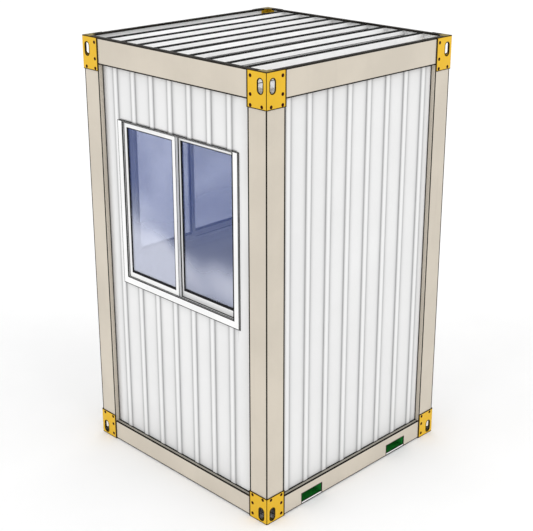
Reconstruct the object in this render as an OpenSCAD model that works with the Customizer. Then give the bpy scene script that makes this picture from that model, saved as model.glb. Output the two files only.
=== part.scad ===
// Security guard booth: a bolted corner-post frame with ribbed walls set back in it.
// +X is the right side, -Y the front and +Z up. The origin is the middle of the base.

/* [Overall] */
// Width and depth over the corner plates
plan_w = 1640; // [1600:10:1700]
// Height over the corner plates
overall_h = 2800; // [2700:10:2900]

/* [Frame] */
// Width of each face of the corner posts
post_w = 150; // [144:2:156]
// Steel thickness of the posts and rails
steel_t = 5; // [3:1:6]
// Height of the bottom rails
bottom_rail_h = 138; // [130:2:150]
// Height of the top rails
top_rail_h = 170; // [160:2:180]
// Width of the rail flanges that carry the walls and the ceiling
seat_w = 110; // [108:2:120]
// Width of the flange along the top edge of the top rails
cap_w = 32; // [24:2:40]

/* [Corner plates] */
// Thickness of the corner plates, which stand proud of the rails
plate_t = 5; // [4:1:8]
// Height of the top corner plates
top_plate_h = 212; // [200:2:220]
// Height of the bottom corner plates
bottom_plate_h = 180; // [170:2:190]
// Width of the flange round the outer end of a corner
corner_flange_w = 48; // [40:2:60]
// Distance from the corner to the rail ends behind the plates
rail_end = 75; // [74:1:78]
// Width of the lifting slots
slot_w = 46; // [40:1:46]
// Length of the lifting slots
slot_h = 88; // [80:1:90]
// Distance from the corner to the middle of a slot
slot_inset = 48; // [46:1:48]
// Height of the middle of the bottom slots
bottom_slot_z = 57; // [55:1:65]
// Depth of the middle of the top slots below the top
top_slot_drop = 82; // [75:1:90]

/* [Walls] */
// Depth of the wall faces behind the rail faces
wall_inset = 30; // [20:2:30]
// Thickness of the wall panels
wall_t = 75; // [60:5:75]
// Distance between the middles of neighbouring ribs
rib_pitch = 171.6; // [160:0.4:176]
// Width of a rib where it meets the wall face
rib_base_w = 48; // [40:2:60]
// Width of the flat crest of a rib
rib_crest_w = 34; // [24:2:38]
// Height of the ribs
rib_h = 6; // [3:1:8]

/* [Windows] */
// Width of a window over its frame
window_w = 1094; // [1000:2:1100]
// Height of a window over its frame
window_h = 1092; // [1000:2:1150]
// Height of the underside of the windows
window_z = 1210; // [1000:10:1300]
// Sideways shift of a window from the middle of its wall
window_shift = 18; // [-20:1:20]
// Width of the jambs and of the sill
window_face = 54; // [50:1:60]
// Thickness of the slim head above the sashes
head_t = 8; // [6:1:12]
// Amount that the frames stand proud of the wall, inside and out
trim_proud = 10; // [8:1:12]
// Overlap of the frames on the wall round the opening
trim_lap = 20; // [15:1:24]
// Depth that the sashes sit behind the edge of the frame
track_lip = 9; // [5:1:12]
// Thickness of a sash
sash_t = 22; // [18:1:24]
// Distance between the faces of the outer and the inner sash
track_pitch = 30; // [28:1:34]
// Width of the sash stiles
stile_w = 31; // [26:1:36]
// Height of the bottom rail of a sash
sash_bottom_h = 41; // [36:1:46]
// Height of the top rail of a sash
sash_top_h = 28; // [24:1:36]
// Overlap of the two meeting stiles
meeting_lap = 21; // [16:1:26]
// Sideways shift of the meeting stiles from the middle of the window
meeting_shift = -16.5; // [-20:0.5:20]
// Thickness of the glass
glass_t = 6; // [4:1:8]

/* [Door] */
// Width of the door frame
door_w = 860; // [800:10:900]
// Height of the door frame
door_h = 2070; // [1950:10:2200]
// Width of the door frame's face
door_face = 50; // [40:1:60]
// Height of the threshold
threshold_h = 20; // [15:1:30]
// Width of the stop that the leaf closes against
stop_w = 12; // [10:1:15]
// Thickness of the door leaf
leaf_t = 40; // [35:1:45]
// Gap round the door leaf
leaf_gap = 4; // [3:1:6]
// Depth of the leaf's face behind the face of its frame
leaf_inset = 8; // [6:1:10]

/* [Roof and floor] */
// Number of purlins
purlin_count = 9; // [7:1:10]
// Distance between neighbouring purlins
purlin_pitch = 156; // [130:1:160]
// Sideways shift of the row of purlins
purlin_shift = -17; // [-20:1:20]
// Width of the purlin flanges
purlin_w = 20; // [18:1:40]
// Height of the lips on the purlins
purlin_lip_h = 29; // [20:1:32]
// Steel thickness of the purlins
purlin_t = 3; // [2:1:4]
// Depth of the purlins below the top of the rails
purlin_drop = 11; // [8:1:16]
// Thickness of the ceiling panel
ceiling_t = 50; // [40:5:60]
// Thickness of the floor panel
floor_t = 22; // [18:1:28]
// Number of floor joists
joist_count = 5; // [5:2:5]
// Distance between neighbouring floor joists
joist_pitch = 280; // [278:1:282]
// Height of the floor joists
joist_h = 80; // [60:5:80]
// Width of the floor joists
joist_w = 40; // [30:2:40]

/* [Fork pockets] */
// Inner width of the fork pockets
pocket_w = 181; // [170:1:184]
// Inner height of the fork pockets
pocket_h = 70; // [60:1:80]
// Distance from the middle of the booth to the middle of a pocket
pocket_y = 414.5; // [410:0.5:420]
// Wall thickness of the fork pockets
pocket_t = 5; // [3:1:5]

/* [Hidden] */

// Colours
FRAME_COLOUR = [0.85, 0.81, 0.75];
CORNER_COLOUR = [0.95, 0.77, 0.16];
WALL_COLOUR = [0.93, 0.93, 0.93];
TRIM_COLOUR = [0.98, 0.98, 0.98];
GLASS_COLOUR = [0.65, 0.68, 0.82, 0.5];
POCKET_COLOUR = [0.04, 0.40, 0.12];
FLOOR_COLOUR = [0.45, 0.44, 0.42];
STEEL_COLOUR = [0.60, 0.60, 0.62];

// Plan distances from the middle of the booth
half = plan_w / 2;
rail_face = half - plate_t;
web_inner = rail_face - steel_t;
post_inner = rail_face - post_w;
seat_inner = rail_face - seat_w;
rail_half = half - rail_end;
wall_face = rail_face - wall_inset;
wall_back = wall_face - wall_t;

// Heights
rail_top_z = overall_h - top_rail_h;
ceiling_z = rail_top_z + steel_t;
wall_h = rail_top_z - bottom_rail_h;
floor_z = bottom_rail_h - floor_t;
window_top = window_z + window_h;
sill_z = window_z + window_face;
sash_z = sill_z - track_lip;
head_z = window_top - head_t;

// Rib patterns of the walls
window_wall_ribs = 7;
window_wall_rib_shift = -25;
blank_wall_ribs = 8;
blank_wall_rib_shift = -17;

// Sides and corners are drawn at the front and turned to their places
FRONT = 0;
RIGHT = 90;
BACK = 180;
LEFT = 270;

// Small gaps and overshoots
sash_gap = 2;
overshoot = 1;
ceiling_seat = 35;

// Door hardware
hinge_r = 8;
hinge_h = 90;
hinge_plate_w = 28;
hinge_plate_t = 3;
hinge_heights = [0.12, 0.5, 0.88];
lever_z = 1050;
lever_r = 8;
lever_l = 120;
lever_reach = 20;
lever_backset = 55;
escutcheon = [40, 4, 200];
ROUND = 48;

function rib_places(count, shift) =
    [for (i = [0 : count - 1]) shift + (i - (count - 1) / 2) * rib_pitch];

// A box from one corner to the opposite corner
module block(low, high) {
    translate(low) cube(high - low);
}

// A rail along the front: an upright web with an inward flange at its foot and its head
module rail(z, h, foot_w, foot_half, head_w, head_half) {
    block([-rail_half, -rail_face, z], [rail_half, -web_inner, z + h]);
    block([-foot_half, -rail_face, z], [foot_half, foot_w - rail_face, z + steel_t]);
    block([-head_half, -rail_face, z + h - steel_t], [head_half, head_w - rail_face, z + h]);
}

module bottom_rail(side) {
    color(FRAME_COLOUR) rotate([0, 0, side])
        rail(0, bottom_rail_h, seat_w, seat_inner, seat_w, seat_inner);
}

module pierced_bottom_rail(side) {
    color(FRAME_COLOUR) difference() {
        bottom_rail(side);
        for (y = [-pocket_y, pocket_y])
            block([-half, y - pocket_w / 2, steel_t + pocket_t],
                  [half, y + pocket_w / 2, steel_t + pocket_t + pocket_h]);
    }
}

module top_rail(side) {
    color(FRAME_COLOUR) rotate([0, 0, side])
        rail(rail_top_z, top_rail_h, seat_w, seat_inner, cap_w, rail_half);
}

// A hollow post at the front right corner, open at its foot and capped at its head
module post(side) {
    color(FRAME_COLOUR) rotate([0, 0, side]) difference() {
        block([post_inner, -rail_face, bottom_rail_h], [rail_face, -post_inner, rail_top_z]);
        block([post_inner + steel_t, -web_inner, bottom_rail_h - overshoot],
              [web_inner, -post_inner - steel_t, rail_top_z - steel_t]);
    }
}

// An upright slot through the front corner plate
module lifting_slot(z) {
    run = slot_h / 2 - slot_w / 2;
    for (end = [-run, run])
        translate([half - slot_inset, overshoot + plate_t - half, z + end])
            rotate([90, 0, 0])
            cylinder(h = plate_t + 2 * overshoot, r = slot_w / 2, $fn = ROUND);
    block([half - slot_inset - slot_w / 2, -half - overshoot, z - run],
          [half - slot_inset + slot_w / 2, overshoot + plate_t - half, z + run]);
}

// Two upright plates and an L-shaped flange at the front right corner
module corner(side, z, h, flange_z, slot_z) {
    color(CORNER_COLOUR) rotate([0, 0, side]) difference() {
        union() {
            block([post_inner, -half, z], [half, -rail_face, z + h]);
            block([rail_face, -half, z], [half, -post_inner, z + h]);
            block([rail_half, -half, flange_z],
                  [half, corner_flange_w - half, flange_z + plate_t]);
            block([half - corner_flange_w, -half, flange_z],
                  [half, -rail_half, flange_z + plate_t]);
        }
        lifting_slot(slot_z);
        mirror([1, 1, 0]) lifting_slot(slot_z);
    }
}

module bottom_corner(side) {
    corner(side, 0, bottom_plate_h, 0, bottom_slot_z);
}

module top_corner(side) {
    corner(side, overall_h - top_plate_h, top_plate_h,
           overall_h - plate_t, overall_h - top_slot_drop);
}

// A green tube that runs right through between the side rails
module fork_pocket(y) {
    color(POCKET_COLOUR) difference() {
        block([-web_inner, y - pocket_w / 2 - pocket_t, steel_t],
              [web_inner, y + pocket_w / 2 + pocket_t, steel_t + pocket_h + 2 * pocket_t]);
        block([-half, y - pocket_w / 2, steel_t + pocket_t],
              [half, y + pocket_w / 2, steel_t + pocket_t + pocket_h]);
    }
}

// C-shaped joists between the side rails, under the floor panel
module floor_joists() {
    color(STEEL_COLOUR) for (i = [0 : joist_count - 1]) {
        y = (i - (joist_count - 1) / 2) * joist_pitch - joist_w / 2;
        difference() {
            block([-web_inner, y, floor_z - joist_h], [web_inner, y + joist_w, floor_z]);
            block([-half, y + steel_t, floor_z - joist_h + steel_t],
                  [half, y + joist_w + overshoot, floor_z - steel_t]);
        }
    }
}

module floor_panel() {
    color(FLOOR_COLOUR)
        block([-seat_inner, -seat_inner, floor_z], [seat_inner, seat_inner, bottom_rail_h]);
}

module ceiling_panel() {
    edge = seat_inner + ceiling_seat;
    color(WALL_COLOUR)
        block([-edge, -edge, ceiling_z], [edge, edge, ceiling_z + ceiling_t]);
}

// C-shaped purlins from front to back, every second one with its open side to the right
module roof_purlins() {
    low = ceiling_z + ceiling_t;
    high = overall_h - purlin_drop;
    color(TRIM_COLOUR) for (i = [0 : purlin_count - 1]) {
        face = purlin_shift + (i - (purlin_count - 1) / 2) * purlin_pitch;
        opens_right = i % 2 == 1;
        mouth_from = opens_right ? face - purlin_t - overshoot : face - purlin_w - overshoot;
        mouth_to = opens_right ? face + overshoot : face - purlin_w + purlin_t + overshoot;
        difference() {
            block([face - purlin_w, -web_inner, low], [face, web_inner, high]);
            block([face - purlin_w + purlin_t, -half, low + purlin_t],
                  [face - purlin_t, half, high - purlin_t]);
            block([mouth_from, -half, low + purlin_lip_h], [mouth_to, half, high - purlin_lip_h]);
        }
    }
}

// A whole front wall between the posts, with its ribs
module ribbed_wall(ribs) {
    crest = -wall_face - rib_h;
    outline = concat(
        [[-post_inner, -wall_back], [-post_inner, -wall_face]],
        [for (x = ribs) each [
            [x - rib_base_w / 2, -wall_face], [x - rib_crest_w / 2, crest],
            [x + rib_crest_w / 2, crest], [x + rib_base_w / 2, -wall_face]]],
        [[post_inner, -wall_face], [post_inner, -wall_back]]);
    translate([0, 0, bottom_rail_h])
        linear_extrude(height = wall_h) polygon(outline);
}

// A wall with a window cut through it, and its ribs cut back round the window's trim
module window_wall(side) {
    reach = window_w / 2 - trim_lap;
    color(WALL_COLOUR) rotate([0, 0, side]) difference() {
        ribbed_wall(rib_places(window_wall_ribs, window_wall_rib_shift));
        block([window_shift - reach, -half, window_z + trim_lap],
              [window_shift + reach, 0, window_top]);
        block([window_shift - window_w / 2, -half, window_z],
              [window_shift + window_w / 2, -wall_face, window_top]);
    }
}

module blank_wall(side) {
    color(WALL_COLOUR) rotate([0, 0, side])
        ribbed_wall(rib_places(blank_wall_ribs, blank_wall_rib_shift));
}

// The part of the back wall between two places along it, above a height
module back_wall_piece(x_from, x_to, z_from) {
    color(WALL_COLOUR) rotate([0, 0, BACK]) difference() {
        intersection() {
            ribbed_wall(rib_places(blank_wall_ribs, 0));
            block([x_from, -half, z_from], [x_to, 0, overall_h]);
        }
        block([-door_w / 2, -half, 0], [door_w / 2, -wall_face, door_top]);
    }
}

// An upright ring: a plate with a smaller opening through it
module ring(outer_low, outer_high, inner_low, inner_high) {
    difference() {
        block(outer_low, outer_high);
        block([inner_low.x, outer_low.y - overshoot, inner_low.z],
              [inner_high.x, outer_high.y + overshoot, inner_high.z]);
    }
}

// A frame that wraps the edge of the wall round a window
module window_frame(side) {
    outer = window_w / 2;
    clear = outer - window_face;
    color(TRIM_COLOUR) rotate([0, 0, side]) translate([window_shift, 0, 0]) {
        for (y = [-wall_face - trim_proud, -wall_back])
            ring([-outer, y, window_z], [outer, y + trim_proud, window_top],
                 [-clear, 0, sill_z], [clear, 0, head_z]);
        ring([trim_lap - outer, -wall_face, window_z + trim_lap],
             [outer - trim_lap, -wall_back, window_top],
             [-clear - track_lip, 0, sash_z], [clear + track_lip, 0, head_z]);
    }
}

// Plan limits of the outer sash, to the left, and of the inner sash, to the right
sash_reach = window_w / 2 - window_face + track_lip;
outer_sash_x = [window_shift - sash_reach, window_shift + meeting_shift + meeting_lap / 2];
inner_sash_x = [window_shift + meeting_shift - meeting_lap / 2, window_shift + sash_reach];
outer_sash_y = -wall_face;
inner_sash_y = -wall_face + track_pitch;

module sash(side, x, y) {
    color(TRIM_COLOUR) rotate([0, 0, side])
        ring([x[0], y, sash_z], [x[1], y + sash_t, head_z - sash_gap],
             [x[0] + stile_w, 0, sash_z + sash_bottom_h],
             [x[1] - stile_w, 0, head_z - sash_gap - sash_top_h]);
}

// One pane in the middle of a sash
module pane(x, y) {
    front = y + (sash_t - glass_t) / 2;
    block([x[0] + stile_w, front, sash_z + sash_bottom_h],
          [x[1] - stile_w, front + glass_t, head_z - sash_gap - sash_top_h]);
}

module window_glass(side) {
    color(GLASS_COLOUR) rotate([0, 0, side]) {
        pane(outer_sash_x, outer_sash_y);
        pane(inner_sash_x, inner_sash_y);
    }
}

// Door opening in the back wall
door_reach = door_w / 2 - trim_lap;
door_top = bottom_rail_h + door_h;
door_clear = door_w / 2 - door_face;
leaf_front = leaf_inset - wall_face - trim_proud;

module door_frame() {
    color(TRIM_COLOUR) rotate([0, 0, BACK]) {
        for (y = [-wall_face - trim_proud, -wall_back])
            ring([-door_w / 2, y, bottom_rail_h], [door_w / 2, y + trim_proud, door_top],
                 [-door_clear, 0, bottom_rail_h + threshold_h],
                 [door_clear, 0, door_top - door_face]);
        ring([-door_reach, -wall_face, bottom_rail_h],
             [door_reach, -wall_back, door_top - trim_lap],
             [-door_clear, 0, bottom_rail_h + threshold_h],
             [door_clear, 0, door_top - door_face]);
        ring([-door_clear, leaf_front + leaf_t + sash_gap, bottom_rail_h + threshold_h],
             [door_clear, -wall_back, door_top - door_face],
             [stop_w - door_clear, 0, bottom_rail_h + threshold_h],
             [door_clear - stop_w, 0, door_top - door_face - stop_w]);
    }
}

module door_leaf() {
    color(TRIM_COLOUR) rotate([0, 0, BACK])
        block([leaf_gap - door_clear, leaf_front, bottom_rail_h + threshold_h + leaf_gap],
              [door_clear - leaf_gap, leaf_front + leaf_t, door_top - door_face - leaf_gap]);
}

// Three hinges on the outer face, each a knuckle with a plate on the frame and on the leaf
module door_hinges() {
    knuckle_y = -wall_face - trim_proud;
    color(STEEL_COLOUR) rotate([0, 0, BACK]) for (share = hinge_heights) {
        z = bottom_rail_h + share * door_h;
        translate([-door_clear, knuckle_y, z]) cylinder(h = hinge_h, r = hinge_r, $fn = ROUND);
        block([-door_clear - hinge_plate_w, knuckle_y - hinge_plate_t, z],
              [-door_clear, knuckle_y, z + hinge_h]);
        block([-door_clear + leaf_gap, leaf_front - hinge_plate_t, z],
              [-door_clear + leaf_gap + hinge_plate_w, leaf_front, z + hinge_h]);
    }
}

// A lever on a long plate, on the face of the leaf that looks towards -Y
module lever(face) {
    x = door_clear - leaf_gap - lever_backset;
    block([x - escutcheon.x / 2, face - escutcheon.y, lever_z - escutcheon.z / 2],
          [x + escutcheon.x / 2, face, lever_z + escutcheon.z / 2]);
    translate([x, face, lever_z]) rotate([90, 0, 0])
        cylinder(h = lever_reach, r = lever_r, $fn = ROUND);
    translate([x + lever_r, face - lever_reach, lever_z]) rotate([0, -90, 0])
        cylinder(h = lever_l, r = lever_r, $fn = ROUND);
}

module door_handle() {
    color(STEEL_COLOUR) rotate([0, 0, BACK]) {
        lever(leaf_front);
        translate([0, leaf_front + leaf_t, 0]) mirror([0, 1, 0]) lever(0);
    }
}

module front_bottom_rail() { bottom_rail(FRONT); }
module right_bottom_rail() { pierced_bottom_rail(RIGHT); }
module back_bottom_rail() { bottom_rail(BACK); }
module left_bottom_rail() { pierced_bottom_rail(LEFT); }
module front_right_bottom_corner() { bottom_corner(FRONT); }
module back_right_bottom_corner() { bottom_corner(RIGHT); }
module back_left_bottom_corner() { bottom_corner(BACK); }
module front_left_bottom_corner() { bottom_corner(LEFT); }
module front_fork_pocket() { fork_pocket(-pocket_y); }
module back_fork_pocket() { fork_pocket(pocket_y); }
module front_right_post() { post(FRONT); }
module back_right_post() { post(RIGHT); }
module back_left_post() { post(BACK); }
module front_left_post() { post(LEFT); }
module front_top_rail() { top_rail(FRONT); }
module right_top_rail() { top_rail(RIGHT); }
module back_top_rail() { top_rail(BACK); }
module left_top_rail() { top_rail(LEFT); }
module front_right_top_corner() { top_corner(FRONT); }
module back_right_top_corner() { top_corner(RIGHT); }
module back_left_top_corner() { top_corner(BACK); }
module front_left_top_corner() { top_corner(LEFT); }
module front_wall() { window_wall(FRONT); }
module right_wall() { blank_wall(RIGHT); }
module left_wall() { window_wall(LEFT); }
module back_wall_left() { back_wall_piece(door_reach, half, 0); }
module back_wall_right() { back_wall_piece(-half, -door_reach, 0); }
module back_wall_over_door() {
    back_wall_piece(-door_reach, door_reach, door_top - trim_lap);
}
module front_window_frame() { window_frame(FRONT); }
module front_window_outer_sash() { sash(FRONT, outer_sash_x, outer_sash_y); }
module front_window_inner_sash() { sash(FRONT, inner_sash_x, inner_sash_y); }
module front_window_glass() { window_glass(FRONT); }
module left_window_frame() { window_frame(LEFT); }
module left_window_outer_sash() { sash(LEFT, outer_sash_x, outer_sash_y); }
module left_window_inner_sash() { sash(LEFT, inner_sash_x, inner_sash_y); }
module left_window_glass() { window_glass(LEFT); }

front_bottom_rail();
right_bottom_rail();
back_bottom_rail();
left_bottom_rail();
front_right_bottom_corner();
back_right_bottom_corner();
back_left_bottom_corner();
front_left_bottom_corner();
front_fork_pocket();
back_fork_pocket();
floor_joists();
floor_panel();
front_right_post();
back_right_post();
back_left_post();
front_left_post();
front_top_rail();
right_top_rail();
back_top_rail();
left_top_rail();
front_right_top_corner();
back_right_top_corner();
back_left_top_corner();
front_left_top_corner();
roof_purlins();
ceiling_panel();
front_wall();
right_wall();
left_wall();
back_wall_left();
back_wall_right();
back_wall_over_door();
front_window_frame();
front_window_outer_sash();
front_window_inner_sash();
front_window_glass();
left_window_frame();
left_window_outer_sash();
left_window_inner_sash();
left_window_glass();
door_frame();
door_leaf();
door_hinges();
door_handle();
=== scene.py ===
import math

import bmesh
import bpy
from mathutils import Matrix, Vector


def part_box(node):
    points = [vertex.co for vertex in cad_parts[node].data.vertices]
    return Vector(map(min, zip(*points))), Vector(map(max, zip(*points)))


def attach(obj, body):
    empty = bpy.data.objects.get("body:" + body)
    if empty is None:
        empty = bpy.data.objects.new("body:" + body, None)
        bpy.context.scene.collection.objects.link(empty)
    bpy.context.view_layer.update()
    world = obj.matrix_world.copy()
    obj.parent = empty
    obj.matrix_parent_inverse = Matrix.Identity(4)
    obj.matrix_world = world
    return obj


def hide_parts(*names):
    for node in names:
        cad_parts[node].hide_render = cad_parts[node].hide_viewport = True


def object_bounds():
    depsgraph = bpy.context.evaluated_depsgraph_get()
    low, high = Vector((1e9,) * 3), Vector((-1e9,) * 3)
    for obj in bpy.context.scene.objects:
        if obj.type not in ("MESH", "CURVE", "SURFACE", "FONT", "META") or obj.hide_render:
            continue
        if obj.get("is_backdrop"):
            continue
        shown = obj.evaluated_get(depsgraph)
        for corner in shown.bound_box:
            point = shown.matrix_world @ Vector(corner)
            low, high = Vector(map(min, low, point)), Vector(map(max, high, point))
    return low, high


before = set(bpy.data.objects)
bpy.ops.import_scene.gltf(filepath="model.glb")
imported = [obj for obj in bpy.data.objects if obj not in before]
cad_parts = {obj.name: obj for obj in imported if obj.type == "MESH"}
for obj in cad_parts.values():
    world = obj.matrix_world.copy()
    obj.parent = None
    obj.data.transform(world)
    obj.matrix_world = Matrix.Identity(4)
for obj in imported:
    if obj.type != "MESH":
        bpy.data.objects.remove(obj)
cad_low, cad_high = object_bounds()
MM = 0.001
TURNS = {"front": 0, "right": 90, "back": 180, "left": 270}

# Main sizes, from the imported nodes
HALF = cad_high.x
TOP = cad_high.z
post_low, post_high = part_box("front_right_post")
FACE = post_high.x
POST_IN = post_low.x
LEDGE = post_low.z
RAIL_LOW = post_high.z
WALL_BACK = -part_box("front_wall")[1].y
TRIM_FACE = -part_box("front_window_frame")[0].y
WALL_FACE = TRIM_FACE - 10 * MM
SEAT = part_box("floor_panel")[1].x
STEEL = 5 * MM

# ---------------------------------------------------------------- materials


class Graph:
    """A material's nodes, made one call at a time."""

    def __init__(self, name):
        self.mat = bpy.data.materials.new(name)
        self.mat.use_nodes = True
        self.tree = self.mat.node_tree
        self.tree.nodes.clear()
        self.out = self.tree.nodes.new("ShaderNodeOutputMaterial")
        self.place = self.tree.nodes.new("ShaderNodeTexCoord").outputs["Object"]
        self.normal = self.tree.nodes.new("ShaderNodeNewGeometry").outputs["Normal"]

    def put(self, socket, value):
        if isinstance(value, bpy.types.NodeSocket):
            self.tree.links.new(value, socket)
        elif isinstance(value, (tuple, list)):
            socket.default_value = (*value, 1.0) if len(socket.default_value) == 4 and len(value) == 3 else value
        else:
            socket.default_value = value

    def stretched(self, scale):
        n = self.tree.nodes.new("ShaderNodeMapping")
        self.put(n.inputs["Vector"], self.place)
        n.inputs["Scale"].default_value = scale
        return n.outputs["Vector"]

    def noise(self, scale, detail=4.0, rough=0.55, stretch=None):
        n = self.tree.nodes.new("ShaderNodeTexNoise")
        self.put(n.inputs["Vector"], self.stretched(stretch) if stretch else self.place)
        n.inputs["Scale"].default_value = scale
        n.inputs["Detail"].default_value = detail
        n.inputs["Roughness"].default_value = rough
        return n.outputs["Fac"]

    def scale(self, value, low, high, to_low=0.0, to_high=1.0):
        n = self.tree.nodes.new("ShaderNodeMapRange")
        n.interpolation_type = "SMOOTHSTEP"
        for socket, v in zip(("Value", "From Min", "From Max", "To Min", "To Max"),
                             (value, low, high, to_low, to_high)):
            self.put(n.inputs[socket], v)
        return n.outputs["Result"]

    def math(self, kind, a, b=0.0):
        n = self.tree.nodes.new("ShaderNodeMath")
        n.operation = kind
        n.use_clamp = True
        self.put(n.inputs[0], a)
        self.put(n.inputs[1], b)
        return n.outputs[0]

    def mix(self, share, a, b):
        n = self.tree.nodes.new("ShaderNodeMix")
        n.data_type = "RGBA"
        self.put(n.inputs[0], share)
        self.put(n.inputs[6], a)
        self.put(n.inputs[7], b)
        return n.outputs[2]

    def axis(self, vector, which):
        n = self.tree.nodes.new("ShaderNodeSeparateXYZ")
        self.put(n.inputs[0], vector)
        return n.outputs[which]

    def attribute(self, name):
        n = self.tree.nodes.new("ShaderNodeAttribute")
        n.attribute_name = name
        return n.outputs["Fac"]

    def bump(self, height, strength, distance, under=None):
        n = self.tree.nodes.new("ShaderNodeBump")
        n.inputs["Strength"].default_value = strength
        n.inputs["Distance"].default_value = distance
        self.put(n.inputs["Height"], height)
        if under is not None:
            self.put(n.inputs["Normal"], under)
        return n.outputs["Normal"]

    def shader(self, **values):
        n = self.tree.nodes.new("ShaderNodeBsdfPrincipled")
        for key, value in values.items():
            self.put(n.inputs[key.replace("_", " ")], value)
        return n.outputs["BSDF"]

    def done(self, surface):
        self.put(self.out.inputs["Surface"], surface)
        return self.mat


def shade(colour, amount):
    return tuple(c * amount for c in colour)


def paint(name, colour, up_colour, rough=0.42, streak=0.10, spots=0.0, dust_and_shade=0.9, gloss=0.3):
    """Sprayed steel paint: slight clouding, rain streaks, an orange-peel skin, and up-facing faces darkened partly by
    dirt, partly by painted shade.
    """
    g = Graph(name)
    cloud = g.scale(g.noise(2.3, 5.0), 0.35, 0.68)
    tone = g.mix(cloud, shade(colour, 0.955), shade(colour, 1.035))
    streaks = g.scale(g.noise(1.0, 5.0, 0.6, (26.0, 26.0, 1.3)), 0.56, 0.78)
    tone = g.mix(g.math("MULTIPLY", streaks, streak), tone, shade(colour, 0.62))
    if spots:
        speck = g.scale(g.noise(165.0, 3.0, 0.6), 0.66, 0.74)
        tone = g.mix(g.math("MULTIPLY", speck, spots), tone, shade(colour, 0.5))
    # Faces that point up darken: partly dust, partly painted shade for tops that lie in shade.
    up = g.scale(g.axis(g.normal, 2), 0.45, 0.9, 0.0, dust_and_shade)
    dust_and_shade_patches = g.scale(g.noise(38.0, 6.0, 0.62), 0.25, 0.7, 0.72, 1.0)
    tone = g.mix(g.math("MULTIPLY", up, dust_and_shade_patches), tone, up_colour)
    peel = g.bump(g.noise(520.0, 2.0), 0.10, 0.0006)
    waves = g.bump(g.noise(7.0, 2.0), 0.16, 0.004, peel)
    roughness = g.scale(g.noise(11.0, 5.0), 0.3, 0.7, rough - 0.07, rough + 0.10)
    return g.done(g.shader(Base_Color=tone, Roughness=roughness, Specular_IOR_Level=gloss, Normal=waves))


def worn_edge(name, colour, dark, share=0.85):
    """The same paint on a bend or a cut edge, where grime and primer show dark."""
    g = Graph(name)
    wear = g.scale(g.noise(22.0, 6.0, 0.65), 0.3, 0.62, share - 0.22, share)
    tone = g.mix(wear, colour, dark)
    skin = g.bump(g.noise(260.0, 4.0), 0.18, 0.0008)
    roughness = g.scale(g.noise(30.0, 4.0), 0.3, 0.7, 0.5, 0.7)
    return g.done(g.shader(Base_Color=tone, Roughness=roughness, Specular_IOR_Level=0.08, Normal=skin))


def rubber(name, colour, rough=0.7):
    """Black sealant or a gasket: matt, a little dusty and uneven."""
    g = Graph(name)
    dusty = g.scale(g.noise(60.0, 5.0), 0.45, 0.75, 0.0, 0.35)
    tone = g.mix(dusty, colour, shade(colour, 2.4))
    skin = g.bump(g.noise(330.0, 4.0), 0.3, 0.0008)
    roughness = g.scale(g.noise(25.0, 4.0), 0.3, 0.7, rough - 0.1, rough + 0.1)
    return g.done(g.shader(Base_Color=tone, Roughness=roughness, Specular_IOR_Level=0.08, Normal=skin))


def metal(name, colour, rough, grain=(1.0, 1.0, 60.0)):
    """Bare steel with a grain."""
    g = Graph(name)
    lines = g.noise(9.0, 6.0, 0.7, grain)
    tone = g.mix(g.scale(lines, 0.3, 0.7), shade(colour, 0.82), shade(colour, 1.1))
    skin = g.bump(lines, 0.12, 0.0006)
    roughness = g.scale(lines, 0.3, 0.7, rough - 0.06, rough + 0.12)
    return g.done(g.shader(Base_Color=tone, Metallic=1.0, Roughness=roughness, Normal=skin))


BEIGE = (0.560, 0.506, 0.425)
YELLOW = (0.700, 0.415, 0.006)
WHITE = (0.745, 0.745, 0.745)
TRIM_WHITE = (0.83, 0.83, 0.83)
INK = (0.010, 0.008, 0.006)

frame_paint = paint("frame_paint", BEIGE, (0.30, 0.285, 0.245), dust_and_shade=0.95)
top_rail_paint = paint("top_rail_paint", BEIGE, (0.035, 0.032, 0.020), dust_and_shade=1.0)
inside_paint = paint("inside_primer", (0.90, 0.90, 0.90), (0.7, 0.7, 0.68), streak=0.05, dust_and_shade=0.3)
frame_edge = worn_edge("frame_edge", shade(BEIGE, 0.12), INK, 0.97)
corner_paint = paint("corner_paint", YELLOW, (0.30, 0.205, 0.020), rough=0.40, streak=0.05, spots=0.12)
# The corner flanges take a darker copy of the corner yellow: painted shade on their flat faces.
shaded_corner_flange_paint = paint("shaded_corner_flange_paint", (0.42, 0.28, 0.010), (0.150, 0.115, 0.012), rough=0.5, streak=0.1,
                      spots=0.2, dust_and_shade=1.0)
corner_edge = worn_edge("corner_edge", (0.10, 0.055, 0.004), (0.020, 0.012, 0.002), 0.9)
pocket_paint = paint("pocket_paint", (0.022, 0.330, 0.055), (0.012, 0.20, 0.024), rough=0.38, streak=0.25,
                     dust_and_shade=0.85)
trim_paint = paint("white_trim", TRIM_WHITE, (0.66, 0.66, 0.64), rough=0.34, streak=0.04, dust_and_shade=0.5)
trim_edge = worn_edge("trim_edge", (0.06, 0.06, 0.06), (0.012, 0.012, 0.012), 0.9)
purlin_paint = paint("purlin_paint", (0.97, 0.97, 0.97), (0.05, 0.05, 0.05), rough=0.42, streak=0.02, dust_and_shade=0.92)
door_paint = paint("door_paint", (0.80, 0.80, 0.80), (0.5, 0.5, 0.48), rough=0.36, streak=0.05, dust_and_shade=0.5)
sealant = rubber("black_sealant", (0.016, 0.016, 0.016))
gasket = rubber("glazing_gasket", (0.012, 0.012, 0.014), 0.6)
bolt_steel = worn_edge("bolt_steel", (0.070, 0.007, 0.003), (0.022, 0.004, 0.002), 0.8)
hardware_steel = metal("hardware_steel", (0.60, 0.60, 0.61), 0.30)
joist_steel = metal("joist_steel", (0.56, 0.57, 0.60), 0.45, (2.0, 2.0, 2.0))


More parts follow.
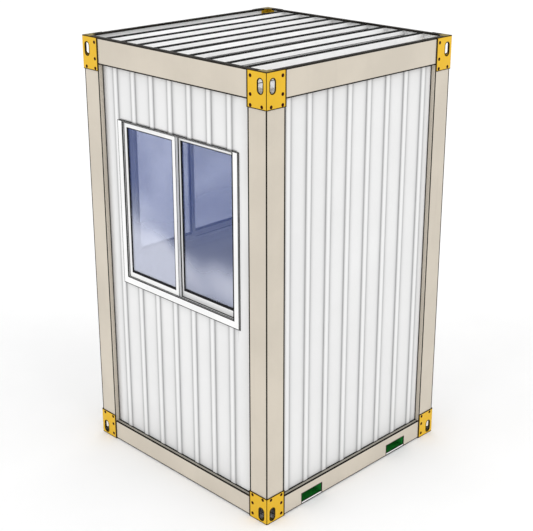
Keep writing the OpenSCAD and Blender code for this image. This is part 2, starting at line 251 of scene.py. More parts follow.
def wall_material():
    """White ribbed sheet. The mesh carries how deep in a rib's hollow each point lies; painted shade darkens the
    hollows beside each rib and a painted highlight lightens each rib's top.
    """
    g = Graph("wall_panel")
    cloud = g.scale(g.noise(1.7, 5.0), 0.35, 0.68)
    tone = g.mix(cloud, shade(WHITE, 0.965), shade(WHITE, 1.0))
    streaks = g.scale(g.noise(1.0, 5.0, 0.6, (34.0, 34.0, 0.9)), 0.55, 0.8)
    tone = g.mix(g.math("MULTIPLY", streaks, 0.07), tone, (0.60, 0.60, 0.58))
    uneven = g.scale(g.noise(3.1, 5.0, 0.6, (3.0, 3.0, 0.8)), 0.3, 0.7, 0.88, 1.0)
    # Painted shade darkens the sheet in the creases beside each rib.
    tone = g.mix(g.math("MULTIPLY", g.attribute("crease_shade"), uneven), tone, (0.25, 0.25, 0.255))
    # A painted highlight lightens the top of each rib.
    tone = g.mix(g.attribute("crest"), tone, (0.765, 0.765, 0.765))
    peel = g.bump(g.noise(480.0, 2.0), 0.08, 0.0006)
    waves = g.bump(g.noise(3.0, 2.0), 0.15, 0.006, peel)
    roughness = g.scale(g.noise(9.0, 5.0), 0.3, 0.7, 0.36, 0.5)
    return g.done(g.shader(Base_Color=tone, Roughness=roughness, Specular_IOR_Level=0.3, Normal=waves))


def glass_material():
    """Tinted glass: a see-through part and a bluish painted reflection, thin in some places and thicker in others."""
    g = Graph("window_glass")
    # The bluish layer is a painted reflection; noise, height in the pane and sideways place set its strength.
    cloud = g.noise(1.45, 2.5, 0.42)
    low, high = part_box("front_window_glass")
    height = g.scale(g.axis(g.place, 2), low.z + 0.05 * (high.z - low.z), low.z + 0.66 * (high.z - low.z),
                     0.34, 0.0)
    sideways = g.scale(g.axis(g.place, 0), low.x, high.x, 0.04, -0.08)
    upper = g.scale(g.axis(g.place, 2), low.z + 0.45 * (high.z - low.z), low.z + 0.9 * (high.z - low.z), 0.0,
                    0.30)
    top = g.math("MULTIPLY", upper, g.scale(g.axis(g.place, 0), -0.1, 0.4, 0.25, 0.8))
    share = g.math("SUBTRACT", g.math("ADD", g.math("ADD", cloud, height), sideways), top)
    painted_reflection = g.mix(g.scale(share, 0.34, 0.60), (0.075, 0.115, 0.320), (0.235, 0.285, 0.510))
    painted_reflection = g.mix(g.scale(share, 0.56, 0.90), painted_reflection, (0.80, 0.83, 0.96))
    reflection_cover = g.math("ADD", g.scale(share, 0.34, 0.62, 0.33, 0.20), g.scale(share, 0.58, 0.88, 0.0, 0.20))
    ripple = g.bump(g.noise(2.4, 2.0), 0.05, 0.002)
    sheet = g.shader(Base_Color=painted_reflection, Roughness=0.04, IOR=1.5, Specular_IOR_Level=0.3, Normal=ripple)
    clear = g.tree.nodes.new("ShaderNodeBsdfTransparent")
    clear.inputs["Color"].default_value = (0.93, 0.945, 0.99, 1.0)
    both = g.tree.nodes.new("ShaderNodeMixShader")
    g.put(both.inputs[0], reflection_cover)
    g.put(both.inputs[1], clear.outputs[0])
    g.put(both.inputs[2], sheet)
    return g.done(both.outputs[0])


def floor_board():
    """Grey vinyl flooring with a fine fleck."""
    g = Graph("floor_board")
    fleck = g.scale(g.noise(150.0, 4.0, 0.7), 0.4, 0.65)
    tone = g.mix(fleck, (0.36, 0.355, 0.34), (0.50, 0.49, 0.47))
    tone = g.mix(g.scale(g.noise(2.0, 4.0), 0.4, 0.7, 0.0, 0.3), tone, (0.30, 0.295, 0.28))
    roughness = g.scale(g.noise(12.0, 4.0), 0.3, 0.7, 0.45, 0.65)
    return g.done(g.shader(Base_Color=tone, Roughness=roughness, Normal=g.bump(fleck, 0.1, 0.0008)))


wall_panel = wall_material()
window_glass = glass_material()
board = floor_board()

# ---------------------------------------------------------------- mesh tools


def piece(name, bm, materials, turn=0, stands_for=(), smooth=True, bevel=0.0):
    """Turns a bmesh into an object of the scene, turned to its side, riding on the booth."""
    bmesh.ops.remove_doubles(bm, verts=bm.verts, dist=1e-6)
    bmesh.ops.recalc_face_normals(bm, faces=bm.faces)
    mesh = bpy.data.meshes.new(name)
    bm.to_mesh(mesh)
    bm.free()
    mesh.transform(Matrix.Rotation(math.radians(turn), 4, "Z"))
    for m in materials:
        mesh.materials.append(m)
    if smooth:
        mesh.polygons.foreach_set("use_smooth", [True] * len(mesh.polygons))
    o = bpy.data.objects.new(name, mesh)
    bpy.context.scene.collection.objects.link(o)
    if bevel:
        b = o.modifiers.new("edges", "BEVEL")
        b.width = bevel
        b.segments = 2
        b.limit_method = "ANGLE"
        b.angle_limit = math.radians(50)
    if smooth:
        w = o.modifiers.new("flats", "WEIGHTED_NORMAL")
        w.weight = 100
        w.keep_sharp = True
    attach(o, "root")
    if stands_for:
        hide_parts(*stands_for)


def fold(path, thick, radius, side, steps=4, closed=False, worn=None):
    """Points along a folded sheet, each with its partner on the sheet's other face and the number of its bend, or -1.
    path is one face, and side is +1 or -1 for the sheet's thickness to the left or right of it.
    worn gives, for a bend, how far its wear reaches (before, after) onto the flats; None stops it half way round."""
    worn = worn or {}
    rows = []
    path = [Vector(p) for p in path]
    count = len(path)
    for i, p in enumerate(path):
        ends = not closed and i in (0, count - 1)
        before = (p - path[i - 1]) if (i or closed) else (path[1] - p)
        after = (path[(i + 1) % count] - p) if (i < count - 1 or closed) else before
        d0, d1 = before.normalized(), after.normalized()
        left = Vector((-d0.y, d0.x))
        turn = math.atan2(d0.x * d1.y - d0.y * d1.x, d0.dot(d1))
        if ends or abs(turn) < 1e-4:
            rows.append((p, p + left * side * thick, -1))
            continue
        sign = 1 if turn > 0 else -1
        r = radius if sign == side else max(radius - thick, 0.5 * MM)
        start = p - d0 * r * math.tan(abs(turn) / 2)
        centre = start + left * sign * r
        reach = worn.get(i, (0.0, 0.0))
        if reach[0]:
            q = start - d0 * reach[0]
            rows.append((q, q + left * side * thick, i))
        for k in range(steps + 1):
            arm = Matrix.Rotation(turn * k / steps, 2) @ left
            q = centre - arm * sign * r
            clean = (reach[0] is None and k < steps / 2) or (reach[1] is None and k > steps / 2)
            rows.append((q, q + arm * side * thick, -1 if clean else i))
        if reach[1]:
            q = q + d1 * reach[1]
            rows.append((q, q + arm * side * thick, i))
    return rows


def extrude(bm, rows, stations, place, closed=False, within=0, skip=None):
    """Runs folded rows along stations. place turns (profile u, profile v, station) into a point.
    Worn bends and rims take material 1 and the inner face material within. skip(u, v, station) leaves a part out."""
    outer = [[bm.verts.new(place(a.x, a.y, s)) for s in stations] for a, b, c in rows]
    inner = [[bm.verts.new(place(b.x, b.y, s)) for s in stations] for a, b, c in rows]
    count = len(rows)
    cells = set()
    for i in range(count if closed else count - 1):
        middle = (rows[i][0] + rows[(i + 1) % count][0]) / 2
        for k in range(len(stations) - 1):
            if not (skip and skip(middle.x, middle.y, (stations[k] + stations[k + 1]) / 2)):
                cells.add((i, k))
    for i, k in sorted(cells):
        j = (i + 1) % count
        worn = rows[i][2] >= 0 and rows[i][2] == rows[j][2]
        bm.faces.new((outer[i][k], outer[j][k], outer[j][k + 1],
                      outer[i][k + 1])).material_index = 1 if worn else 0
        bm.faces.new((inner[i][k], inner[i][k + 1], inner[j][k + 1], inner[j][k])).material_index = within
        before = (i - 1) % count if closed else i - 1
        for beyond, a, b in (((before, k), (i, k), (i, k + 1)), ((j, k), (j, k), (j, k + 1)),
                             ((i, k - 1), (i, k), (j, k)), ((i, k + 1), (i, k + 1), (j, k + 1))):
            if beyond not in cells:
                bm.faces.new((outer[a[0]][a[1]], outer[b[0]][b[1]], inner[b[0]][b[1]],
                              inner[a[0]][a[1]])).material_index = 1


def rings(bm, x, z, loops, closed=True, marks=()):
    """Rectangular loops inside x and z, each set in by (sides, top, bottom) at a depth y, joined one to the next.
    marks are the loop numbers whose band to the next loop takes material 1."""
    made = []
    for sides, top, bottom, y in loops:
        x0, x1, z0, z1 = x[0] + sides, x[1] - sides, z[0] + bottom, z[1] - top
        made.append([bm.verts.new(p) for p in ((x0, y, z0), (x1, y, z0), (x1, y, z1), (x0, y, z1))])
    last = len(made) if closed else len(made) - 1
    for i in range(last):
        a, b = made[i], made[(i + 1) % len(made)]
        for k in range(4):
            f = bm.faces.new((a[k], a[(k + 1) % 4], b[(k + 1) % 4], b[k]))
            f.material_index = 1 if i in marks else 0


def slab(bm, low, high, index=0):
    """A closed cuboid."""
    x, y, z = zip(low, high)
    v = [bm.verts.new((x[i], y[j], z[k])) for i in (0, 1) for j in (0, 1) for k in (0, 1)]
    for f in ((0, 1, 3, 2), (4, 6, 7, 5), (0, 4, 5, 1), (2, 3, 7, 6), (0, 2, 6, 4), (1, 5, 7, 3)):
        bm.faces.new([v[i] for i in f]).material_index = index


def turned(bm, centre, axis, across, outline, around=24):
    """A turned solid: outline is (distance along axis, radius) from one end to the other."""
    axis = Vector(axis).normalized()
    across = Vector(across).normalized()
    third = axis.cross(across)
    loops = []
    for along, radius in outline:
        loop = []
        for k in range(around):
            a = 2 * math.pi * k / around
            r = radius(a) if callable(radius) else radius
            loop.append(bm.verts.new(Vector(centre) + axis * along + (across * math.cos(a) + third * math.sin(a)) * r))
        loops.append(loop)
    for a, b in zip(loops, loops[1:]):
        for k in range(around):
            bm.faces.new((a[k], a[(k + 1) % around], b[(k + 1) % around], b[k]))
    bm.faces.new(loops[0])
    bm.faces.new(loops[-1])


def stadium(x, z, half_width, half_length, steps=14):
    """Corner points of an upright slot."""
    run = half_length - half_width
    ends = ((run, 0.0), (-run, math.pi))
    return [(x + half_width * math.cos(start + math.pi * k / steps),
             z + rise + half_width * math.sin(start + math.pi * k / steps))
            for rise, start in ends for k in range(steps + 1)]


def circle(x, z, radius, steps=20):
    return [(x + radius * math.cos(2 * math.pi * k / steps), z + radius * math.sin(2 * math.pi * k / steps))
            for k in range(steps)]


def rounded(x0, x1, z0, z1, radius, steps=4):
    """Corner points of a rectangle with rounded corners."""
    points = []
    for cx, cz, start in ((x1 - radius, z1 - radius, 0), (x0 + radius, z1 - radius, 90),
                          (x0 + radius, z0 + radius, 180), (x1 - radius, z0 + radius, 270)):
        for k in range(steps + 1):
            a = math.radians(start + 90 * k / steps)
            points.append((cx + radius * math.cos(a), cz + radius * math.sin(a)))
    return points


def flat_plate(outlines, thick, edge):
    """A plate in u, v with holes and rounded rims, its thickness in w. The first outline is its border."""
    curve = bpy.data.curves.new("plate", "CURVE")
    curve.dimensions = "2D"
    curve.fill_mode = "BOTH"
    curve.extrude = thick / 2 - edge
    curve.bevel_depth = edge
    curve.bevel_resolution = 1
    curve.offset = -edge
    for points in outlines:
        spline = curve.splines.new("POLY")
        spline.points.add(len(points) - 1)
        for p, (u, v) in zip(spline.points, points):
            p.co = (u, v, 0.0, 1.0)
        spline.use_cyclic_u = True
    holder = bpy.data.objects.new("plate", curve)
    bpy.context.scene.collection.objects.link(holder)
    bpy.context.view_layer.update()
    mesh = bpy.data.meshes.new_from_object(holder.evaluated_get(bpy.context.evaluated_depsgraph_get()))
    bpy.data.objects.remove(holder)
    bpy.data.curves.remove(curve)
    bm = bmesh.new()
    bm.from_mesh(mesh)
    bpy.data.meshes.remove(mesh)
    bmesh.ops.remove_doubles(bm, verts=bm.verts, dist=1e-6)
    bmesh.ops.recalc_face_normals(bm, faces=bm.faces)
    bm.normal_update()
    for f in bm.faces:
        f.material_index = 0 if abs(f.normal.z) > 0.95 else 1
    return bm


def add_mesh(bm, other, index=None):
    """Adds another bmesh, all in one material if index is given."""
    if index is not None:
        for f in other.faces:
            f.material_index = index
    mesh = bpy.data.meshes.new("part")
    other.to_mesh(mesh)
    other.free()
    bm.from_mesh(mesh)
    bpy.data.meshes.remove(mesh)


# ---------------------------------------------------------------- posts and rails

BEND = 7 * MM
POST_SHEET, POST_BEND = 3.6 * MM, 4 * MM
# How far the dark wear reaches from a post's bends. It stands for the photo's drawn outlines,
# and is narrower on the near post because the lines are narrower there.
NEAR_WEAR, FAR_WEAR, INNER_WEAR = 2.2 * MM, 6.5 * MM, 8.5 * MM
CAP_W = 32 * MM
SIDES = ("front", "right", "back", "left")
CORNERS = ("front_right", "back_right", "back_left", "front_left")

for corner, side in zip(CORNERS, SIDES):
    bm = bmesh.new()
    ring = [(POST_IN, -FACE), (FACE, -FACE), (FACE, -POST_IN), (POST_IN, -POST_IN)]
    outer_wear = NEAR_WEAR if corner == "front_right" else FAR_WEAR
    wear = {0: (None, INNER_WEAR), 1: (outer_wear, outer_wear), 2: (INNER_WEAR, None)}
    extrude(bm, fold(ring, POST_SHEET, POST_BEND, 1, 5, True, wear), [LEDGE, RAIL_LOW], lambda u, v,
            s: (u, v, s), True)
    slab(bm, (POST_IN + STEEL, -FACE + STEEL, RAIL_LOW - STEEL),
         (FACE - STEEL, -POST_IN - STEEL, RAIL_LOW - 0.2 * MM))
    node = corner + "_post"
    piece(node + "_body", bm, [frame_paint, frame_edge], TURNS[side], (node,))


def across_front(u, v, s):
    return (s, u, v)


pocket_low, pocket_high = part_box("front_fork_pocket")
POCKET_T = 5 * MM
pocket_y = sorted(y for n in ("front_fork_pocket", "back_fork_pocket")
                  for y in (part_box(n)[0].y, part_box(n)[1].y))
POCKET_RUNS = [(pocket_y[0] + POCKET_T, pocket_y[1] - POCKET_T),
               (pocket_y[2] + POCKET_T, pocket_y[3] - POCKET_T)]
POCKET_Z = (pocket_low.z + POCKET_T, pocket_high.z - POCKET_T)
RAIL_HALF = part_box("front_top_rail")[1].x

for side in SIDES:
    turn = TURNS[side]
    bm = bmesh.new()
    flange = -SEAT
    shape = [(flange, 0.0), (-FACE, 0.0), (-FACE, POCKET_Z[0]), (-FACE, POCKET_Z[1]), (-FACE, LEDGE),
             (flange, LEDGE)]
    rows = fold(shape, STEEL, BEND, -1, worn={1: (0.0, 2.5 * MM), 4: (1.5 * MM, 0.0)})
    if side in ("right", "left"):
        runs = POCKET_RUNS if side == "right" else [(-b, -a) for a, b in reversed(POCKET_RUNS)]
        extrude(bm, rows, [-SEAT, *[s for run in runs for s in run], SEAT], across_front, within=2,
                skip=lambda u, v, s: abs(u + FACE) < 1e-6 and POCKET_Z[0] < v < POCKET_Z[1]
                and any(a < s < b for a, b in runs))
        # The pale strip at an opening's foot, then dark bars where the photo outlines the opening
        for a, b in runs:
            slab(bm, (a, -FACE + 0.4 * MM, POCKET_Z[0] - MM), (b, -FACE + 4 * MM, POCKET_Z[0] + 9 * MM), 2)
            slab(bm, (a, -FACE + 0.1 * MM, POCKET_Z[0] + 9 * MM), (b, -FACE + 5 * MM, POCKET_Z[0] + 12 * MM), 1)
            for x0, x1, z0, z1 in ((a - 6 * MM, a, *POCKET_Z), (b, b + 6 * MM, *POCKET_Z),
                                   (a - 6 * MM, b + 6 * MM, POCKET_Z[0] - 4 * MM, POCKET_Z[0]),
                                   (a - 6 * MM, b + 6 * MM, POCKET_Z[1], POCKET_Z[1] + 4 * MM)):
                slab(bm, (x0, -FACE - 0.6 * MM, z0), (x1, -FACE + MM, z1), 1)
    else:
        extrude(bm, rows, [-SEAT, SEAT], across_front, within=2)
    for a, b in ((-RAIL_HALF, -SEAT), (SEAT, RAIL_HALF)):
        slab(bm, (a, -FACE, BEND), (b, -FACE + STEEL, LEDGE - BEND))
    node = side + "_bottom_rail"
    piece(node + "_channel", bm, [frame_paint, frame_edge, inside_paint], turn, (node,))

    bm = bmesh.new()
    cap = -FACE + CAP_W
    rows = fold([(flange, RAIL_LOW), (-FACE, RAIL_LOW), (-FACE, TOP), (cap, TOP)], STEEL, BEND, -1,
                worn={1: (0.0, 3 * MM), 2: (2 * MM, 24 * MM)})
    extrude(bm, rows, [-RAIL_HALF, -SEAT, SEAT, RAIL_HALF], across_front, within=2,
            skip=lambda u, v, s: abs(s) > SEAT and u > -FACE + BEND and v < TOP / 2 + RAIL_LOW / 2)
    # A dark lip on the flange's inner edge, where the photo has an outline
    slab(bm, (-RAIL_HALF, cap - 4 * MM, TOP - 12 * MM), (RAIL_HALF, cap, TOP - 0.3 * MM), 1)
    node = side + "_top_rail"
    piece(node + "_channel", bm, [top_rail_paint, frame_edge, inside_paint], turn, (node,))

# ---------------------------------------------------------------- corner plates and bolts

PLATE_W = HALF - POST_IN
PLATE_BEND = 6 * MM
SLOT_INSET = 48 * MM
SLOT_HALF = (23 * MM, 44 * MM)
BOLT_HOLE = 10.6 * MM
BOLT_OUT, BOLT_NEAR, KEY_HALF = 125 * MM, 36 * MM, 4.0 * MM
FLANGE_W = 43 * MM
# Widths of the dark border of a plate and of the dark ring round a slot, for the photo's outlines
RIM = (10 * MM, 5 * MM)
BEAD = (2.5 * MM, 4 * MM)
SHRINK = PLATE_BEND * (1 - math.pi / 4)


def fold_plate(bm, base):
    """Bends a flat plate (u, v, w) round the front right corner of the booth."""
    arc = PLATE_BEND * math.pi / 4
    for k in range(9):
        u = -arc + 2 * arc * k / 8
        geometry = bm.verts[:] + bm.edges[:] + bm.faces[:]
        bmesh.ops.bisect_plane(bm, geom=geometry, dist=1e-7, plane_co=(u, 0, 0), plane_no=(1, 0, 0))
    centre = Vector((HALF - PLATE_BEND, -HALF + PLATE_BEND))
    for v in bm.verts:
        u, height, w = v.co
        r = PLATE_BEND - (STEEL / 2 - w)
        if u < -arc:
            at = Vector((centre.x + (u + arc), centre.y - r))
        elif u > arc:
            at = Vector((centre.x + r, centre.y + (u - arc)))
        else:
            a = u / PLATE_BEND + math.pi / 4
            at = centre + Vector((math.sin(a), -math.cos(a))) * r
        v.co = (at.x, at.y, base + height)


def bolt_places(level):
    """(distance from the corner, height in the plate) of one face's bolts."""
    if level == "top":
        height = PLATE_H[level]
        return [(BOLT_OUT, height - 33 * MM), (BOLT_OUT, height - 136 * MM), (BOLT_OUT, height - 196 * MM),
                (BOLT_NEAR, height - 195 * MM)]
    return [(BOLT_OUT, 161 * MM), (BOLT_OUT, 104 * MM), (BOLT_OUT, 31 * MM), (BOLT_NEAR, 162 * MM)]


def socket(a):
    """Radius of a hexagon socket at an angle."""
    step = math.pi / 3
    return KEY_HALF / math.cos((a % step) - step / 2)


PLATE_H = {}
for level in ("bottom", "top"):
    low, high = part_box("front_right_" + level + "_corner")
    PLATE_H[level] = high.z - low.z
    slot_v = 57 * MM if level == "bottom" else PLATE_H[level] - 82 * MM
    for corner, side in zip(CORNERS, SIDES):
        turn = TURNS[side]
        node = f"{corner}_{level}_corner"
        reach = PLATE_W - SHRINK
        border = rounded(-reach, reach, 0.0, PLATE_H[level], 2.5 * MM)
        field = rounded(-reach + RIM[0], reach - RIM[0], RIM[1], PLATE_H[level] - RIM[1], 2 * MM)
        outlines, frames = [field], [[border, field]]
        for sign in (-1, 1):
            at = (sign * (SLOT_INSET - SHRINK), slot_v)
            outer, inner = ([half + grow for half in SLOT_HALF] for grow in (BEAD[0], -BEAD[1]))
            outlines.append(stadium(*at, *outer))
            frames.append([stadium(*at, *outer), stadium(*at, *inner)])
            outlines += [circle(sign * (s - SHRINK), h, BOLT_HOLE) for s, h in bolt_places(level)]
        bm = flat_plate(outlines, STEEL, 0.3 * MM)
        if level == "bottom":
            for f in bm.faces:
                if f.normal.z < -0.95:
                    f.material_index = 2
        for frame_lines in frames:
            add_mesh(bm, flat_plate(frame_lines, STEEL, 0.3 * MM), 1)
        fold_plate(bm, low.z)
        arc_band = HALF - PLATE_BEND * 0.55
        for f in bm.faces:
            c = f.calc_center_median()
            if c.x > arc_band and c.y < -arc_band:
                f.material_index = 1
        piece(node + "_plate", bm, [corner_paint, corner_edge, inside_paint], turn, (node,))

        wide, leg = FLANGE_W, HALF - RAIL_HALF
        inner = FACE
        outline = [(HALF - leg, -inner), (inner, -inner), (inner, -HALF + leg), (inner - wide, -HALF + leg),
                   (inner - wide, -inner + wide), (HALF - leg, -inner + wide)]
        flange = flat_plate([outline], STEEL, 2.2 * MM)
        middle = low.z + STEEL / 2 if level == "bottom" else high.z - STEEL / 2
        bmesh.ops.translate(flange, verts=flange.verts, vec=(0, 0, middle))
        piece(node + "_flange", flange, [shaded_corner_flange_paint, corner_edge], turn)

        # The heads lie sunk in their holes, so that none passes the CAD box
        bm = bmesh.new()
        for s, h in bolt_places(level):
            z = low.z + h
            head = [(-4.2 * MM, 8.6 * MM), (-1.2 * MM, 10.2 * MM), (-0.7 * MM, 10.2 * MM),
                    (-0.4 * MM, 9.5 * MM),
                    (-0.4 * MM, socket), (-3.4 * MM, socket)]
            turned(bm, (HALF - s, -HALF, z), (0, -1, 0), (1, 0, 0), head)
            turned(bm, (HALF, -HALF + s, z), (1, 0, 0), (0, 1, 0), head)
        piece(node + "_bolts", bm, [bolt_steel], turn, smooth=False)

# ---------------------------------------------------------------- ribbed walls

PITCH = 171.6 * MM
RIB_H = 4.5 * MM
# Half the crest and the width of the slope beside it, and where the painted crease shade is darkest, in millimetres
CREST_HALF, SLOPE_W, CREASE_AT = 16.0, 9.0, 22.0
# Number of ribs and how far the row is shifted
WINDOW_RIBS, BLANK_RIBS, DOOR_RIBS = (7, -25 * MM), (8, -17 * MM), (8, 0.0)
RIB_STEPS = [0, 6, 11, 14, 16, 17.5, 19, 20.5, 22, 23.5, 25, 28, 32, 37, 44, 54, 70]


def rib_height(d):
    """How far the sheet stands out at a distance from the middle of a rib."""
    t = min(max((d / MM - CREST_HALF) / SLOPE_W, 0.0), 1.0)
    return RIB_H * (1 - t * t * (3 - 2 * t))


def rib_crease_shade(d):
    """How strongly painted shade darkens the sheet at a distance from the middle of a rib."""
    d /= MM
    if d >= CREASE_AT:
        return math.exp(-(d - CREASE_AT) / 9.5)
    return math.exp(-(CREASE_AT - d) / 4.5)


def ribbed(name, turn, x_range, z_range, count, shift, hole=None, stands_for=()):
    """A wall panel: its ribbed outer sheet, its flat inner face and the rims between them."""
    middles = [shift + (i - (count - 1) / 2) * PITCH for i in range(count)]
    xs = {x_range[0], x_range[1]}
    for m in middles:
        for d in RIB_STEPS:
            xs |= {m - d * MM, m + d * MM}
    if hole:
        xs |= {hole[0][0], hole[0][1]}
    xs = sorted(x for x in xs if x_range[0] <= x <= x_range[1])
    xs = [x for i, x in enumerate(xs) if i == 0 or x - xs[i - 1] > 0.2 * MM or x == x_range[1]]
    zs = sorted({*z_range, *([z_range[0] + (z_range[1] - z_range[0]) * k / 8 for k in range(9)]),
                 *(hole[1] if hole else ())})
    zs = [z for z in zs if z_range[0] <= z <= z_range[1]]
    bm = bmesh.new()
    crease_shade = bm.verts.layers.float.new("crease_shade")
    crest = bm.verts.layers.float.new("crest")
    front, back = [], []
    for x in xs:
        d = min(abs(x - m) for m in middles)
        col_front, col_back = [], []
        for z in zs:
            v = bm.verts.new((x, -WALL_FACE - rib_height(d), z))
            # Painted shade in the creases beside each rib.
            v[crease_shade] = rib_crease_shade(d)
            # A painted highlight along each rib's crest.
            v[crest] = min(max((13.0 - d / MM) / 5.0, 0.0), 1.0)
            col_front.append(v)
            col_back.append(bm.verts.new((x, -WALL_BACK, z)))
        front.append(col_front)
        back.append(col_back)

    def solid(i, k):
        if not (0 <= i < len(xs) - 1 and 0 <= k < len(zs) - 1):
            return False
        x, z = (xs[i] + xs[i + 1]) / 2, (zs[k] + zs[k + 1]) / 2
        return not (hole and hole[0][0] < x < hole[0][1] and hole[1][0] < z < hole[1][1])

    for i in range(len(xs) - 1):
        for k in range(len(zs) - 1):
            if not solid(i, k):
                continue
            bm.faces.new((front[i][k], front[i + 1][k], front[i + 1][k + 1], front[i][k + 1]))
            bm.faces.new((back[i][k], back[i][k + 1], back[i + 1][k + 1], back[i + 1][k])).material_index = 1
            for (di, dk), (a, b) in {(-1, 0): ((i, k), (i, k + 1)), (1, 0): ((i + 1, k + 1), (i + 1, k)),
                                     (0, -1): ((i + 1, k), (i, k)),
                                     (0, 1): ((i, k + 1), (i + 1, k + 1))}.items():
                if not solid(i + di, k + dk):
                    bm.faces.new((front[a[0]][a[1]], front[b[0]][b[1]], back[b[0]][b[1]], back[a[0]][a[1]]))
    piece(name, bm, [wall_panel, inside_paint], turn, stands_for)


WINDOW_Z = (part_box("front_window_frame")[0].z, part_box("front_window_frame")[1].z)
WINDOW_X = (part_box("front_window_frame")[0].x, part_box("front_window_frame")[1].x)
LAP = 20 * MM
window_hole = ((WINDOW_X[0] + LAP, WINDOW_X[1] - LAP), (WINDOW_Z[0] + LAP, WINDOW_Z[1]))
full_x, full_z = (-POST_IN, POST_IN), (LEDGE, RAIL_LOW)
ribbed("front_wall_sheet", 0, full_x, full_z, *WINDOW_RIBS, window_hole, ("front_wall",))
ribbed("left_wall_sheet", 270, full_x, full_z, *WINDOW_RIBS, window_hole, ("left_wall",))
ribbed("right_wall_sheet", 90, full_x, full_z, *BLANK_RIBS, None, ("right_wall",))
door_low, door_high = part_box("door_frame")
door_reach = door_high.x - LAP
over_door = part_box("back_wall_over_door")[0].z
ribbed("back_wall_sheet", 180, full_x, full_z, *DOOR_RIBS, ((-door_reach, door_reach), (LEDGE - 1, over_door)),
       ("back_wall_left", "back_wall_right", "back_wall_over_door"))


def bead(bm, start, end, out, up, size):
    """A bead of sealant along a joint: out points off the wall, up off the other face."""
    start, end, out, up = Vector(start), Vector(end), Vector(out), Vector(up)
    shape = [(0, 0), (1, 0), (1, 0.7), (0.95, 0.88), (0.8, 1), (0, 1)]
    a = [bm.verts.new(start + out * (s * size[0]) + up * (t * size[1])) for s, t in shape]
    b = [bm.verts.new(end + out * (s * size[0]) + up * (t * size[1])) for s, t in shape]
    for k in range(len(shape)):
        j = (k + 1) % len(shape)
        bm.faces.new((a[k], a[j], b[j], b[k]))
    bm.faces.new(a)
    bm.faces.new(b)


for side in SIDES:
    bm = bmesh.new()
    y = -WALL_FACE
    deep, tall = 8 * MM, 4 * MM
    gaps = [(-POST_IN, POST_IN)] if side != "back" else [(-POST_IN, -door_high.x), (door_high.x, POST_IN)]
    for a, b in gaps:
        bead(bm, (a, y, LEDGE), (b, y, LEDGE), (0, -1, 0), (0, 0, 1), (deep, tall))
    bead(bm, (-POST_IN, y, RAIL_LOW), (POST_IN, y, RAIL_LOW), (0, -1, 0), (0, 0, -1), (7 * MM, 3 * MM))
    for sign in (-1, 1):
        x = sign * POST_IN
        bead(bm, (x, y, LEDGE), (x, y, RAIL_LOW), (0, -1, 0), (-sign, 0, 0), (3.5 * MM, 4 * MM))
    piece(side + "_wall_sealant", bm, [sealant], TURNS[side])

# ---------------------------------------------------------------- windows

JAMB = 54 * MM
HEAD = 8 * MM
LIP = 9 * MM
SASH_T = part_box("front_window_outer_sash")[1].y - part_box("front_window_outer_sash")[0].y
STILE, SASH_FOOT, SASH_HEAD = 31 * MM, 41 * MM, 28 * MM
R = 2.4 * MM

